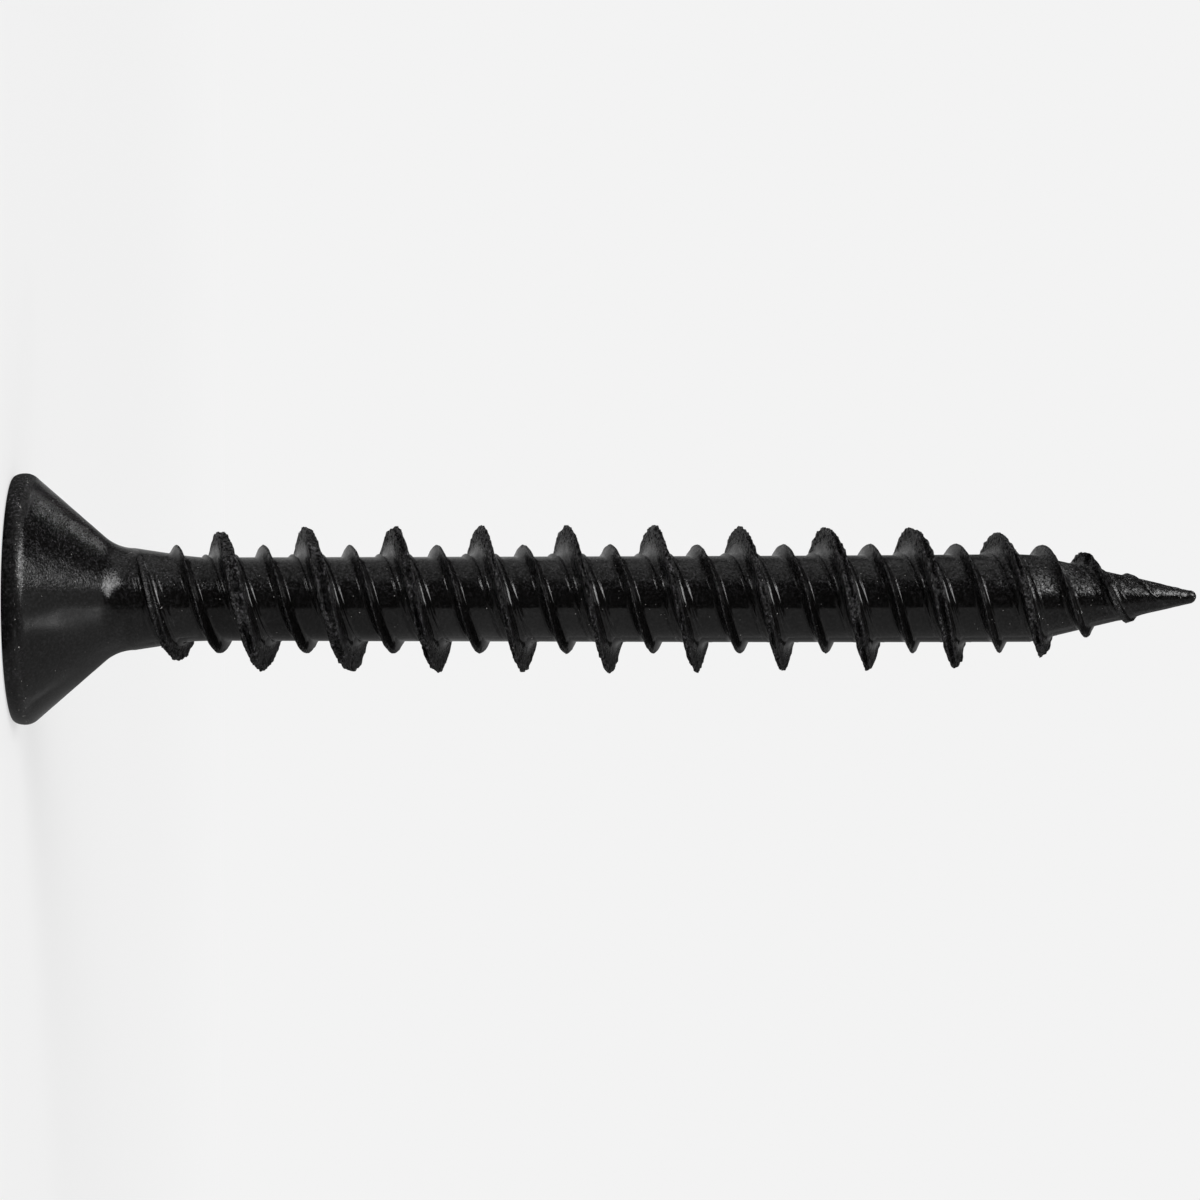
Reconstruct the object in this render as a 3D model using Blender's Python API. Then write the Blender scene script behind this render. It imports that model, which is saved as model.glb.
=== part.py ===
"""Concrete screw: 3/16 in by 1-3/4 in, countersunk 82 degree head with a cross recess, high and low thread.

One cold-formed and rolled piece of steel with a black coat. It stands on the flat face of its head:
the origin is the centre of that face, +Z runs along the axis to the point, and the thread is right-handed.
Run it with: blender --background --python part.py
"""

import math

import bmesh
import bpy
from mathutils import Vector

MM = 0.001

# Overall
SCREW_LENGTH = 44.45 * MM
SEGMENTS = 32  # facets round the axis, a multiple of four so that the head touches its box on all sides

# Head
HEAD_DIAMETER = 9.44 * MM
RIM_WIDTH = 0.19 * MM  # of the rounded edge, seen from below
RIM_HEIGHT = 0.43 * MM  # from the flat face to the widest place
RIM_TO_CONE_RADIUS = 0.62 * MM
HEAD_CONE_ANGLE = math.radians(82)
NECK_FILLET_RADIUS = 1.73 * MM

# Cross recess, size 2
RECESS_DIAMETER = 5.3 * MM
RECESS_DEPTH = 3.0 * MM  # to the end of the wings
RECESS_POINT_DEPTH = 0.55 * MM  # of the shallow cone below the wings
RECESS_WING_WIDTH = 1.25 * MM
RECESS_WING_SLOPE = math.radians(26.5)  # of each wing's outer edge from the axis
RECESS_SIDE_DRAFT = math.radians(2.9)
RECESS_CORE_DIAMETER = 2.4 * MM
RECESS_CORNER_ANGLE = math.radians(138)  # of the blunt corner between two wings

# Shank
NECK_DIAMETER = 3.83 * MM
NECK_LENGTH = 0.65 * MM  # plain stretch between the fillet and the taper
NECK_TAPER_LENGTH = 1.6 * MM
ROOT_DIAMETER_AT_NECK = 3.13 * MM
ROOT_DIAMETER_AT_POINT = 3.31 * MM
POINT_LENGTH = 6.3 * MM
POINT_END_RADIUS = 0.22 * MM  # the blunt end
POINT_LEAN = 0.1 * MM  # how far the end stands off the axis, towards -X

# Thread
LEAD = 3.255 * MM
HIGH_CREST_HEIGHT_AT_X = 6.08 * MM  # where the first high crest crosses the +X side

HIGH_DIAMETER_AT_NECK = 5.36 * MM
HIGH_DIAMETER_MIDWAY = 5.68 * MM
HIGH_DIAMETER_AT_POINT = 5.3 * MM
HIGH_CREST_WIDTH = 0.2 * MM
HIGH_CREST_CROWN = 0.12 * MM
HIGH_FLANK_ANGLE = math.radians(12)
HIGH_FOOT_FILLET = 0.27 * MM
HIGH_RUN_IN_LENGTH = 5.1 * MM
HIGH_FADE_LENGTH = 5.8 * MM
HIGH_FADE_SHAPE = 1.0  # 1 sinks evenly into the point, more sinks early

LOW_DIAMETER_AT_NECK = 4.08 * MM
LOW_DIAMETER_AT_POINT = 4.14 * MM
LOW_CREST_WIDTH = 0.07 * MM
LOW_FLANK_ANGLE = math.radians(22)
LOW_RUN_IN_LENGTH = 1.2 * MM
LOW_FADE_LENGTH = 3.7 * MM
LOW_FADE_SHAPE = 2.3

THREAD_END_CLEARANCE = 2.25 * MM  # plain stretch left at the very point
UNFILLED_CREST_SHARE = 0.7  # from 0, as narrow as a full crest, to 1, the full form cut off level
LEAST_RIDGE_HEIGHT = 0.02 * MM  # a lower ridge is left out

# Mesh
CUTTER_OVERSHOOT = 0.5 * MM  # how far the recess cutter reaches out of the head
WELD_DISTANCE = 0.0005 * MM
FACE_RING_SHARE = 0.93  # a ring on the flat face, which keeps its shading flat
RIM_STEPS = 5
RIM_TO_CONE_STEPS = 4
FILLET_ARC_STEPS = 6
POINT_ARC_STEPS = 3
SHARP_EDGE_ANGLE = math.radians(35)

# Sizes that follow from those above
HEAD_RADIUS = HEAD_DIAMETER / 2
HALF_CONE = HEAD_CONE_ANGLE / 2
NECK_RADIUS = NECK_DIAMETER / 2
CONE_TOP_RADIUS = HEAD_RADIUS - RIM_TO_CONE_RADIUS * (1 - math.cos(HALF_CONE))
CONE_TOP_HEIGHT = RIM_HEIGHT + RIM_TO_CONE_RADIUS * math.sin(HALF_CONE)
CONE_FOOT_HEIGHT = CONE_TOP_HEIGHT + (CONE_TOP_RADIUS - NECK_RADIUS) / math.tan(HALF_CONE)
NECK_START = CONE_FOOT_HEIGHT + NECK_FILLET_RADIUS * math.tan(HALF_CONE / 2)
TAPER_START = NECK_START + NECK_LENGTH
TAPER_END = TAPER_START + NECK_TAPER_LENGTH
POINT_START = SCREW_LENGTH - POINT_LENGTH
POINT_ROUND_START = SCREW_LENGTH - POINT_END_RADIUS
THREAD_END = SCREW_LENGTH - THREAD_END_CLEARANCE


def mix(start, end, share):
    """The value between start and end, held at both ends."""
    return start + (end - start) * min(1.0, max(0.0, share))


def ease(share):
    """Turns a straight ramp into one with soft ends."""
    share = min(1.0, max(0.0, share))
    return share * share * (3 - 2 * share)


def core_radius(height):
    """The shank without its thread: neck, taper, root and point."""
    if height < TAPER_END:
        return mix(NECK_RADIUS, ROOT_DIAMETER_AT_NECK / 2, ease((height - TAPER_START) / NECK_TAPER_LENGTH))
    if height < POINT_START:
        along = (height - TAPER_END) / (POINT_START - TAPER_END)
        return mix(ROOT_DIAMETER_AT_NECK, ROOT_DIAMETER_AT_POINT, along) / 2
    along = (height - POINT_START) / (POINT_ROUND_START - POINT_START)
    return mix(ROOT_DIAMETER_AT_POINT / 2, POINT_END_RADIUS, along)


def high_form_radius(height):
    """The full height of the high thread, fullest midway along the shank."""
    along = (height - TAPER_END) / (POINT_START - TAPER_END)
    if along < 0.5:
        return mix(HIGH_DIAMETER_AT_NECK, HIGH_DIAMETER_MIDWAY, 2 * along) / 2
    return mix(HIGH_DIAMETER_MIDWAY, HIGH_DIAMETER_AT_POINT, 2 * along - 1) / 2


def low_form_radius(height):
    """The full height of the low thread."""
    along = (height - TAPER_END) / (POINT_START - TAPER_END)
    return mix(LOW_DIAMETER_AT_NECK, LOW_DIAMETER_AT_POINT, along) / 2


def crest_radius(full, height, run_in, fade, fade_shape):
    """The crest as rolled: it climbs out of the neck to its full radius, and sinks into the point."""
    climbed = mix(0.0, 1.0, (height - NECK_START) / run_in)
    left = mix(0.0, 1.0, (THREAD_END - height) / fade)
    rise = 1 - (1 - climbed) ** 2
    base = core_radius(height)
    from_neck = mix(min(NECK_RADIUS, full), full, rise)
    return base + (from_neck - base) * left**fade_shape


def flank_point(middle, half_width, radius):
    """(height, radius) on a flank, held above the core below it."""
    height = middle + half_width
    return height, max(radius, core_radius(height))


def high_section(middle):
    """(height, radius) across the high ridge: foot, knee, crest edge, crest, crest edge, knee, foot."""
    full = high_form_radius(middle)
    crest = crest_radius(full, middle, HIGH_RUN_IN_LENGTH, HIGH_FADE_LENGTH, HIGH_FADE_SHAPE)
    core = core_radius(middle)
    rise = crest - core
    if rise < LEAST_RIDGE_HEIGHT:
        return [(middle, core)] * 7
    spread = math.tan(HIGH_FLANK_ANGLE)
    crown = min(HIGH_CREST_CROWN, rise / 2)
    fillet = min(HIGH_FOOT_FILLET, (rise - crown) / 2)
    edge_half = HIGH_CREST_WIDTH / 2 + UNFILLED_CREST_SHARE * (full - crest) * spread
    knee_half = edge_half + (rise - crown - fillet) * spread
    foot_half = knee_half + fillet
    return [
        flank_point(middle, -foot_half, 0.0),
        flank_point(middle, -knee_half, core + fillet),
        flank_point(middle, -edge_half, crest - crown),
        (middle, crest),
        flank_point(middle, edge_half, crest - crown),
        flank_point(middle, knee_half, core + fillet),
        flank_point(middle, foot_half, 0.0),
    ]


def low_section(middle):
    """(height, radius) across the low ridge: foot, crest edge, crest edge, foot."""
    full = low_form_radius(middle)
    crest = crest_radius(full, middle, LOW_RUN_IN_LENGTH, LOW_FADE_LENGTH, LOW_FADE_SHAPE)
    core = core_radius(middle)
    if crest - core < LEAST_RIDGE_HEIGHT:
        return [(middle, core)] * 4
    edge_half = LOW_CREST_WIDTH / 2
    foot_half = edge_half + (crest - core) * math.tan(LOW_FLANK_ANGLE)
    return [
        flank_point(middle, -foot_half, 0.0),
        flank_point(middle, -edge_half, crest),
        flank_point(middle, edge_half, crest),
        flank_point(middle, foot_half, 0.0),
    ]


def lead_section(start):
    """(height, radius) along one lead: a root, the high ridge, a root, the low ridge."""
    middle = start + LEAD / 2
    return [
        (start, core_radius(start)),
        *high_section(start + LEAD / 4),
        (middle, core_radius(middle)),
        *low_section(start + 3 * LEAD / 4),
    ]


def held_on_shank(height, radius):
    """A point past either end of the thread's stretch is brought back to the ring that closes it there."""
    if height < NECK_START:
        return NECK_START, core_radius(NECK_START)
    if height > POINT_ROUND_START:
        return POINT_ROUND_START, POINT_END_RADIUS
    return height, radius


def add_threaded_shank(body):
    """One strip that winds round the axis, a lead wide, so that its edges follow the thread."""
    first_root = HIGH_CREST_HEIGHT_AT_X - LEAD / 4
    first_step = math.floor((NECK_START - first_root) / LEAD * SEGMENTS) - SEGMENTS
    last_step = math.ceil((POINT_ROUND_START - first_root) / LEAD * SEGMENTS)
    rows = []
    for step in range(first_step, last_step + SEGMENTS + 1):
        angle = 2 * math.pi * (step % SEGMENTS) / SEGMENTS
        start = first_root + LEAD * step / SEGMENTS
        row = []
        for height, radius in lead_section(start):
            height, radius = held_on_shank(height, radius)
            row.append(body.verts.new((radius * math.cos(angle), radius * math.sin(angle), height)))
        rows.append(row)
    for index in range(last_step - first_step):
        here = rows[index] + [rows[index + SEGMENTS][0]]
        there = rows[index + 1] + [rows[index + 1 + SEGMENTS][0]]
        for place in range(len(here) - 1):
            body.faces.new((here[place], there[place], there[place + 1], here[place + 1]))
    loose = [vert for vert in body.verts if not vert.link_faces]
    bmesh.ops.delete(body, geom=loose, context="VERTS")


def arc(centre_radius, centre_height, radius, start, end, steps):
    """(radius, height) along an arc, its angles counted from the outward direction towards the point."""
    points = []
    for step in range(steps + 1):
        angle = start + (end - start) * step / steps
        points.append((centre_radius + radius * math.cos(angle), centre_height + radius * math.sin(angle)))
    return points


def turn(body, profile):
    """Turns a profile of (radius, height) points round the axis."""
    verts = [body.verts.new((radius, 0.0, height)) for radius, height in profile]
    edges = [body.edges.new(pair) for pair in zip(verts, verts[1:])]
    bmesh.ops.spin(
        body,
        geom=verts + edges,
        cent=(0.0, 0.0, 0.0),
        axis=(0.0, 0.0, 1.0),
        angle=2 * math.pi,
        steps=SEGMENTS,
        use_merge=True,
    )


def head_profile():
    """From the middle of the flat face over the rim and down the cone to the neck."""
    face_radius = HEAD_RADIUS - RIM_WIDTH
    edge = []
    for across, along in arc(0.0, 0.0, 1.0, -math.pi / 2, 0.0, RIM_STEPS):
        edge.append((face_radius + RIM_WIDTH * across, RIM_HEIGHT * (1 + along)))
    shoulder = arc(
        HEAD_RADIUS - RIM_TO_CONE_RADIUS,
        RIM_HEIGHT,
        RIM_TO_CONE_RADIUS,
        0.0,
        HALF_CONE,
        RIM_TO_CONE_STEPS,
    )
    fillet = arc(
        NECK_RADIUS + NECK_FILLET_RADIUS,
        NECK_START,
        NECK_FILLET_RADIUS,
        math.pi + HALF_CONE,
        math.pi,
        FILLET_ARC_STEPS,
    )
    return [(0.0, 0.0), (face_radius * FACE_RING_SHARE, 0.0), *edge, *shoulder[1:], *fillet]


def point_profile():
    """The blunt end of the point."""
    return arc(0.0, POINT_ROUND_START, POINT_END_RADIUS, 0.0, math.pi / 2, POINT_ARC_STEPS)


def lean_point(body):
    """Bends the end of the point a little off the axis."""
    for vert in body.verts:
        share = max(0.0, vert.co.z - POINT_START) / POINT_LENGTH
        vert.co.x -= POINT_LEAN * share**2


def recess_outline(depth):
    """The cross at one depth below the head's face: each wing's end, and the blunt corner between two wings."""
    draft = depth * math.tan(RECESS_SIDE_DRAFT)
    corner = (RECESS_CORE_DIAMETER / 2 - draft) * math.sin(math.pi / 4)
    wing_end = max(corner, RECESS_DIAMETER / 2 - depth * math.tan(RECESS_WING_SLOPE))
    wing_half = RECESS_WING_WIDTH / 2 - draft
    facet_slope = math.tan(RECESS_CORNER_ANGLE / 2 - math.pi / 4)
    facet_end = corner + (corner - wing_half) / facet_slope
    if facet_end > wing_end:
        facet_end = wing_end
        wing_half = corner - (wing_end - corner) * facet_slope
    quarter = [
        Vector((wing_end, -wing_half, depth)),
        Vector((wing_end, wing_half, depth)),
        Vector((facet_end, wing_half, depth)),
        Vector((corner, corner, depth)),
        Vector((wing_half, facet_end, depth)),
    ]
    outline = []
    for cos, sin in ((1, 0), (0, 1), (-1, 0), (0, -1)):
        for point in quarter:
            outline.append(Vector((point.x * cos - point.y * sin, point.x * sin + point.y * cos, depth)))
    return outline


def make_recess_cutter():
    """A closed tapered cross that starts below the head's face and ends in a shallow cone inside it."""
    cutter = bmesh.new()
    below = [point - Vector((0.0, 0.0, CUTTER_OVERSHOOT)) for point in recess_outline(0.0)]
    rings = []
    for outline in (below, recess_outline(0.0), recess_outline(RECESS_DEPTH)):
        rings.append([cutter.verts.new(point) for point in outline])
    deepest = cutter.verts.new((0.0, 0.0, RECESS_DEPTH + RECESS_POINT_DEPTH))
    cutter.faces.new(rings[0])
    count = len(rings[0])
    for lower, upper in zip(rings, rings[1:]):
        for index in range(count):
            after = (index + 1) % count
            cutter.faces.new((lower[index], lower[after], upper[after], upper[index]))
    for index in range(count):
        cutter.faces.new((rings[-1][index], rings[-1][(index + 1) % count], deepest))
    bmesh.ops.remove_doubles(cutter, verts=cutter.verts, dist=WELD_DISTANCE)
    bmesh.ops.recalc_face_normals(cutter, faces=cutter.faces)
    mesh = bpy.data.meshes.new("recess_cutter")
    cutter.to_mesh(mesh)
    cutter.free()
    obj = bpy.data.objects.new("recess_cutter", mesh)
    bpy.context.scene.collection.objects.link(obj)
    obj.hide_render = True
    obj.display_type = "WIRE"
    return obj


def black_coat():
    """Glossy black coat over the steel."""
    material = bpy.data.materials.new("black_coat")
    material.use_nodes = True
    shader = material.node_tree.nodes["Principled BSDF"]
    shader.inputs["Base Color"].default_value = (0.006, 0.006, 0.0065, 1.0)
    shader.inputs["Roughness"].default_value = 0.28
    shader.inputs["Metallic"].default_value = 0.0
    return material


def make_screw():
    """The whole screw in one closed mesh, with the recess cut from its head."""
    body = bmesh.new()
    turn(body, head_profile())
    add_threaded_shank(body)
    turn(body, point_profile())
    bmesh.ops.remove_doubles(body, verts=body.verts, dist=WELD_DISTANCE)
    lean_point(body)
    bmesh.ops.recalc_face_normals(body, faces=body.faces)
    mesh = bpy.data.meshes.new("concrete_screw")
    body.to_mesh(mesh)
    body.free()
    mesh.materials.append(black_coat())
    mesh.shade_smooth()
    mesh.set_sharp_from_angle(angle=SHARP_EDGE_ANGLE)
    screw = bpy.data.objects.new("concrete_screw", mesh)
    bpy.context.scene.collection.objects.link(screw)
    recess = screw.modifiers.new("cross_recess", "BOOLEAN")
    recess.operation = "DIFFERENCE"
    recess.solver = "EXACT"
    recess.object = make_recess_cutter()
    return screw


for old in list(bpy.data.objects):
    bpy.data.objects.remove(old)
make_screw()
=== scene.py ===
import math

import bmesh
import bpy
from mathutils import Matrix, Vector


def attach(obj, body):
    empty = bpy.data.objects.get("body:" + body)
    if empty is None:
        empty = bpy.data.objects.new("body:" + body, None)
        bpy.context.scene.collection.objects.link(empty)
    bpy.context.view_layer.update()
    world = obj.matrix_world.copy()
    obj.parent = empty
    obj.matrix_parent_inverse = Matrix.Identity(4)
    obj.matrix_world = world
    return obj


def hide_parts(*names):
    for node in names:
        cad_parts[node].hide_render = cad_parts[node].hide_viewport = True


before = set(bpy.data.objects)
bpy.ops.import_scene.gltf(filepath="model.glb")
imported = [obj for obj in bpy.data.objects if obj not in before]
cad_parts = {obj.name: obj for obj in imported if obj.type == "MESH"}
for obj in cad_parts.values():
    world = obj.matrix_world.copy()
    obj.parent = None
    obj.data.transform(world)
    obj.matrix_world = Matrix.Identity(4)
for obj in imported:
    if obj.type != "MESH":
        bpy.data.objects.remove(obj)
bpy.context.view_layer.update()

print("frame loaded:", ", ".join(sorted(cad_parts)))

mm = 0.001  # the sizes below are in millimetres, the meshes in metres
mergeDistance = 0.0005 * mm

# Camera: the screw stands on its head, and the photograph shows it lying, so the camera lies on its side
cameraView = {
    "distance": 172.0,
    "aimHeight": 21.98,
    "aimSide": 0.034,
    "lens": 137.2,
    "sensor": 36.0,
    "pitch": 0.94,  # degrees, from a little below the middle of the screw
    "clip": (0.005, 20.0),  # metres
}


def makeCamera(view):
    data = bpy.data.cameras.new("photoCamera")
    data.lens = view["lens"]
    data.sensor_width = view["sensor"]
    data.clip_start, data.clip_end = view["clip"]
    camera = bpy.data.objects.new("photoCamera", data)
    bpy.context.scene.collection.objects.link(camera)
    lyingView = Matrix(((0, -1, 0), (0, 0, -1), (1, 0, 0))).to_4x4()  # image right is +Z, image up is -X
    aim = Matrix.Translation((view["aimSide"] * mm, 0, view["aimHeight"] * mm))
    pitch = Matrix.Rotation(math.radians(view["pitch"]), 4, "X")
    camera.matrix_world = aim @ pitch @ lyingView @ Matrix.Translation((0, 0, view["distance"] * mm))
    bpy.context.scene.camera = camera
    print("camera placed")


makeCamera(cameraView)


# Node helpers, for geometry and shader trees alike
def feed(tree, socket, value):
    if isinstance(value, bpy.types.NodeSocket):
        tree.links.new(value, socket)
    else:
        socket.default_value = value


def calc(tree, operation, *values):
    node = tree.nodes.new("ShaderNodeMath")
    node.operation = operation
    for socket, value in zip(node.inputs, values):
        feed(tree, socket, value)
    return node.outputs[0]


def add(tree, first, *others):
    for other in others:
        first = calc(tree, "ADD", first, other)
    return first


def times(tree, first, *others):
    for other in others:
        first = calc(tree, "MULTIPLY", first, other)
    return first


def minus(tree, first, second):
    return calc(tree, "SUBTRACT", first, second)


def rampOf(tree, value, start, end, low, high, kind="LINEAR"):
    node = tree.nodes.new("ShaderNodeMapRange")
    node.interpolation_type = kind
    names = ("Value", "From Min", "From Max", "To Min", "To Max")
    for name, part in zip(names, (value, start, end, low, high)):
        feed(tree, node.inputs[name], part)
    return node.outputs["Result"]


def drawnCurve(tree, value, points):
    node = tree.nodes.new("ShaderNodeFloatCurve")
    line = node.mapping.curves[0]
    for place, height in points[1:-1]:
        line.points.new(place, height)
    line.points[0].location = points[0]
    line.points[-1].location = points[-1]
    node.mapping.update()
    feed(tree, node.inputs["Value"], value)
    return node.outputs["Value"]


def vectorOf(tree, x, y, z):
    node = tree.nodes.new("ShaderNodeCombineXYZ")
    for socket, value in zip(node.inputs, (x, y, z)):
        feed(tree, socket, value)
    return node.outputs[0]


def scaled(tree, vector, factor):
    node = tree.nodes.new("ShaderNodeVectorMath")
    node.operation = "SCALE"
    feed(tree, node.inputs[0], vector)
    feed(tree, node.inputs["Scale"], factor)
    return node.outputs[0]


def noiseOf(tree, place, scale, detail=2.0, roughness=0.5):
    node = tree.nodes.new("ShaderNodeTexNoise")
    feed(tree, node.inputs["Vector"], place)
    feed(tree, node.inputs["Scale"], scale)
    feed(tree, node.inputs["Detail"], detail)
    feed(tree, node.inputs["Roughness"], roughness)
    return node.outputs[0]


# The screw's sizes; those of the thread are inputs of its node tree
headSizes = {
    "diameter": 9.44,
    "rimWidth": 0.19,
    "rimHeight": 0.43,
    "rimToConeRadius": 0.62,
    "coneAngle": 82.0,
    "neckFillet": 1.73,
    "faceShare": 0.93,  # the flat face is one polygon out to this share of its radius
    "rimSteps": 8,
    "shoulderSteps": 7,
    "coneSteps": 26,
    "filletSteps": 12,
}
recessSizes = {
    "diameter": 5.3,
    "depth": 3.0,
    "pointDepth": 0.55,
    "wingWidth": 1.25,
    "wingSlope": 26.5,
    "sideDraft": 2.9,
    "coreDiameter": 2.4,
    "cornerAngle": 138.0,
    "mouthRounding": 0.05,
    "overrun": 0.5,  # how far below the face its cutter starts
    "crispAround": 0.15,  # edges up to this far outside it or above its end stay crisp
    "crispAbove": 0.1,
    "crispAngle": 25.0,  # if they bend by more than this
    "roundedAngle": 35.0,  # sharper edges than this are rounded
}
pointSizes = {"length": 6.3, "endRadius": 0.25, "lean": 0.085, "endSteps": 5}
screwLength = 44.45
neckDiameter = 3.83
columns = 144

# Rows of points across the high ridge, the low one and each root between them
threadRows = {"high": 28, "root": 3, "low": 12}
lowFirstRow = threadRows["high"] + threadRows["root"]
lowLastRow = lowFirstRow + threadRows["low"]
rowsPerLead = lowLastRow + threadRows["root"]
crestShare = 4 / 14  # of the high ridge's rows, those on its flat crest
seamShare = 3 / 14

halfCone = math.radians(headSizes["coneAngle"] / 2)
shoulderRadius = headSizes["rimToConeRadius"]
coneTopRadius = headSizes["diameter"] / 2 - shoulderRadius * (1 - math.cos(halfCone))
coneTopHeight = headSizes["rimHeight"] + shoulderRadius * math.sin(halfCone)
coneFootHeight = coneTopHeight + (coneTopRadius - neckDiameter / 2) / math.tan(halfCone)
neckStart = coneFootHeight + headSizes["neckFillet"] * math.tan(halfCone / 2)

threadSizes = {
    "columns": columns,
    "rowsPerLead": rowsPerLead,
    "leads": 14,
    "leadsBefore": 2,  # the sheet starts this many leads before the ridge's first crest
    "lead": 3.255,
    "firstHighCrest": 6.08,  # on the +X side
    "neckStart": neckStart,
    "neckDiameter": neckDiameter,
    "taperStart": neckStart,
    "taperEnd": neckStart + 2.3,
    "rootAtNeck": 3.13,
    "rootAtPoint": 3.31,
    "pointStart": screwLength - pointSizes["length"],
    "pointRoundStart": screwLength - pointSizes["endRadius"] - 0.01,  # the end stops a little short
    "pointEndRadius": pointSizes["endRadius"],
    "pointLean": pointSizes["lean"],
    "highEnd": screwLength - 2.15,
    "lowEnd": screwLength - 1.2,
    "highAtNeck": 5.36,
    "highMidway": 5.68,
    "highAtPoint": 5.22,
    "highRunIn": 5.1,  # the length over which it climbs out of the neck
    "highFade": 6.6,  # and the one over which it sinks into the point
    "highFadeShape": 0.8,  # below 1 it stays high for longer, above 1 it sinks early
    "highFootLow": 0.44,  # half of a ridge's width at its foot, where it starts and where it is full
    "highFootFull": 0.6,
    "crestHalf": 0.16,  # half of the flat crest's width, before the curves along the screw
    "topWidth": 1.1,  # how many times as wide it is on the -X side, and at the most on the +X side
    "bottomWidest": 2.6,
    "crestFullRise": 0.8,  # on a ridge lower than this the crest narrows, down to crestNarrowest times
    "crestNarrowest": 0.3,
    "crestDip": 0.1,
    "footBead": 0.12,
    "footBeadBottom": 0.1,  # how much of the bead is left towards the +X side
    "lowAtNeck": 4.08,
    "lowMidway": 4.11,
    "lowAtPoint": 4.14,
    "lowRunIn": 1.2,
    "lowFade": 4.9,
    "lowFadeShape": 1.8,
    "lowFootLow": 0.2,
    "lowFootFull": 0.3,
    "wander": 0.05,
    "pushBefore": 2.0,  # from here before the point, the ridges lie higher and higher
    "pointPitch": 0.12,  # by this much at the high one's end
    "leanStart": 24.0,
    "crestTilt": 0.3,
    "tiltStray": 0.8,
    "seamDepth": 0.3,
    "seamFrom": 0.42,  # the seam opens where its noise is above this, and is whole at the next
    "seamWhole": 0.6,
    "crestWaves": 0.12,
    "crestGrain": 0.21,
    "flankGrain": 0.15,
    "coatGrain": 0.01,
    "coatGrainStart": 0.3,
    "coatGrainFull": 1.2,
    "pointLumps": 0.1,
    "lumpsStart": 39.5,
    "lumpsFull": 42.0,
    "seed": 4.0,
}

# How fine each unevenness of the metal is
noiseScales = {
    "wander": 0.9,
    "wanderAlong": 0.4,
    "tilt": 0.9,
    "seam": 0.8,
    "waves": 1.4,
    "crestGrain": 5.0,
    "flankGrain": 2.0,
    "coatGrain": 1.6,
}
# The wear begins at the first value and is full at the second: a share of the ridge's height, and its rise
wearSpans = {
    "highHeight": (0.1, 0.75),
    "highRise": (0.05, 0.6),
    "lowHeight": (0.6, 1.0),
    "lowRise": (0.05, 0.3),
}
lowCrestWear = 0.6  # against 1 on the high crest
noiseRadius = 2.7  # about the high crest's own, so that its noise runs evenly along it
fullRise = {"high": 1.0, "low": 0.45}  # how high over the root a ridge is when its foot is at its widest

# A pit in the last of the high ridge, where the rolled metal didn't close
pitSizes = {"side": -1.42, "front": -0.24, "height": 40.3, "radius": 0.27, "floorRadius": 0.03, "depth": 0.3}

# Half of a ridge's section, from the edge of the high crest or the middle of the low one to the foot
highAcross = [
    (0.0, 0.0), (0.1, 0.045), (0.2, 0.083), (0.4, 0.167),
    (0.5, 0.26), (0.6, 0.41), (0.8, 0.76), (1.0, 1.0),
]
highShare = [
    (0.0, 0.95), (0.1, 0.78), (0.2, 0.58), (0.3, 0.38), (0.4, 0.2),
    (0.5, 0.1), (0.6, 0.04), (0.7, 0.01), (1.0, 0.0),
]
footBead = [(0.0, 0.0), (0.7, 0.0), (0.8, 0.35), (0.88, 0.95), (0.94, 0.7), (1.0, 0.0)]
lowAcross = [(0.0, 0.0), (0.3, 0.22), (0.6, 0.52), (0.8, 0.76), (1.0, 1.0)]
lowShare = [(0.0, 1.0), (0.15, 0.95), (0.4, 0.6), (0.65, 0.2), (0.85, 0.04), (1.0, 0.0)]
rootAcross = [(0.0, 0.0), (0.3333, 0.07), (0.6667, 0.93), (1.0, 1.0)]
# Along the screw from the neck to the point: how wide the high crest is, how much wider on the +X side,
# and which of its lips stands higher
crestWidthAlong = [
    (0.0, 0.8), (0.2, 0.75), (0.35, 0.3), (0.6, 0.3),
    (0.75, 0.65), (0.84, 0.6), (0.9, 0.3), (1.0, 0.35),
]
bottomWidthAlong = [
    (0.0, 0.4), (0.12, 0.24), (0.28, 0.4), (0.35, 0.24),
    (0.5, 0.34), (0.82, 0.34), (0.9, 1.0), (1.0, 1.0),
]
crestTiltAlong = [
    (0.0, 0.1), (0.05, 0.15), (0.16, 0.85), (0.2, 0.3), (0.3, 0.1),
    (0.42, 0.5), (0.6, 0.4), (0.7, 0.8), (1.0, 0.85),
]


# The shank without its thread: neck, taper, root and point
def coreRadius(tree, size, height):
    neckFull = times(tree, size["neckDiameter"], 0.5)
    rootFirst = times(tree, size["rootAtNeck"], 0.5)
    rootLast = times(tree, size["rootAtPoint"], 0.5)
    neck = rampOf(tree, height, size["taperStart"], size["taperEnd"], neckFull, rootFirst)
    growth = minus(tree, rootLast, rootFirst)
    root = rampOf(tree, height, size["taperEnd"], size["pointStart"], 0.0, growth)
    sink = minus(tree, size["pointEndRadius"], rootLast)
    point = rampOf(tree, height, size["pointStart"], size["pointRoundStart"], 0.0, sink)
    return add(tree, neck, root, point)


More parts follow.
